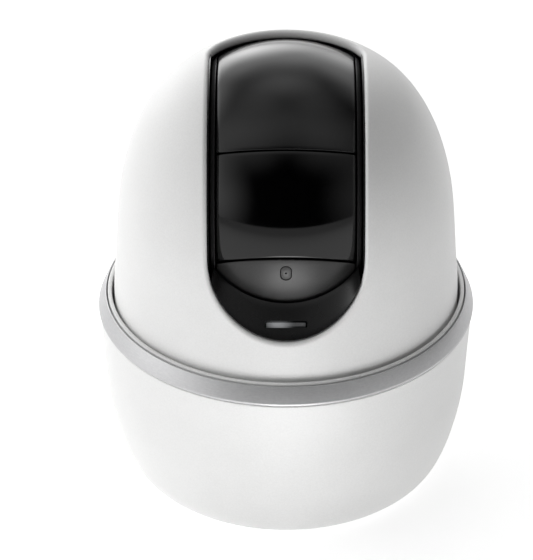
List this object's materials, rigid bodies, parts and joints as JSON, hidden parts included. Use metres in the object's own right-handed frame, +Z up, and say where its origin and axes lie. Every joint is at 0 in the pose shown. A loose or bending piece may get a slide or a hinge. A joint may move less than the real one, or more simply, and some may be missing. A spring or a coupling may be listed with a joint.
{
  "type": "security camera",
  "caption": "Indoor pan and tilt security camera: white dome head with a slotted black lens ball, on a round base with a silver trim ring.",
  "frame": {"origin": "middle of the foot's resting face", "axes": "+Z up along the pan axis; the lens side faces -Y at rest; +X is the tilt axis"},
  "size_m": [0.084, 0.084, 0.1016],
  "materials": {
    "white_plastic": "moulded satin white plastic, fine spark texture",
    "silver_trim": "satin brushed silver",
    "black_gloss": "polished black plastic",
    "smoked_window": "near-opaque smoked window, polished",
    "grey_matte": "matte dark grey plastic, fine texture",
    "dark_plastic": "matte black plastic",
    "frame_plastic": "glass-filled dark grey plastic",
    "nylon": "natural acetal",
    "foot_rubber": "soft grey rubber",
    "steel": "zinc-plated steel",
    "circuit_board": "green solder mask on glass epoxy",
    "light_guide": "clear diffusing plastic, lit",
    "lens_glass": "coated lens glass",
    "ir_emitter": "dark tinted epoxy"
  },
  "bodies": {
    "base": {"base_shell": "white_plastic", "trim_ring": "silver_trim", "bottom_cover": "white_plastic", "rubber_foot": "foot_rubber", "base_frame": "frame_plastic", "cover_screw_1": "steel", "cover_screw_2": "steel", "cover_screw_3": "steel", "base_board": "circuit_board", "power_socket": "steel", "reset_switch": "dark_plastic", "speaker_frame": "dark_plastic", "speaker_cone": "dark_plastic", "speaker_magnet": "steel", "pan_motor": "steel"},
    "head": {"dome_shell": "white_plastic", "front_bezel": "black_gloss", "light_pipe": "light_guide", "light_board": "circuit_board", "turntable": "frame_plastic", "spigot_retainer": "steel", "pan_gear": "nylon", "upright_right": "frame_plastic", "upright_left": "frame_plastic", "bush_right": "nylon", "bush_left": "nylon", "tilt_motor": "steel", "main_board": "circuit_board", "processor_shield": "steel", "aerial_board": "circuit_board", "memory_card_socket": "steel"},
    "lens_ball": {"ball_upper_shell": "black_gloss", "lens_window": "smoked_window", "chin_cover": "grey_matte", "mic_port": "dark_plastic", "microphone": "steel", "side_plate_right": "black_gloss", "side_plate_left": "black_gloss", "tilt_gear": "nylon", "ball_frame": "frame_plastic", "sensor_board": "circuit_board", "lens_holder": "dark_plastic", "lens_barrel": "dark_plastic", "lens_glass": "lens_glass", "ir_board": "circuit_board", "ir_led_left": "ir_emitter", "ir_led_right": "ir_emitter"},
    "pan_pinion": {"pan_pinion": "nylon"},
    "tilt_pinion": {"tilt_pinion": "nylon"},
    "reset_button": {"reset_button": "dark_plastic"}
  },
  "joints": [
    {"name": "pan", "type": "hinge", "parent": "base", "child": "head", "pos_m": [0, 0, 0.034], "axis": [0, 0, 1], "range_deg": [-177, 177]},
    {"name": "tilt", "type": "hinge", "parent": "head", "child": "lens_ball", "pos_m": [0, 0, 0.0692], "axis": [-1, 0, 0], "range_deg": [-30, 45]},
    {"name": "pan_pinion_spin", "type": "hinge", "parent": "base", "child": "pan_pinion", "pos_m": [-0.02631, -0.00958, 0.031], "axis": [0, 0, 1], "range_deg": [-655, 655]},
    {"name": "tilt_pinion_spin", "type": "hinge", "parent": "head", "child": "tilt_pinion", "pos_m": [0.0186, 0.008, 0.05443], "axis": [-1, 0, 0], "range_deg": [-140, 95]},
    {"name": "reset_press", "type": "slide", "parent": "base", "child": "reset_button", "axis": [0, -1, 0], "range_m": [0, 0.0004], "stiffness_N_per_m": 400}
  ],
  "couplings": [
    {"joint": "pan_pinion_spin", "follows": "pan", "ratio": -3.6667},
    {"joint": "tilt_pinion_spin", "follows": "tilt", "ratio": -3}
  ]
}
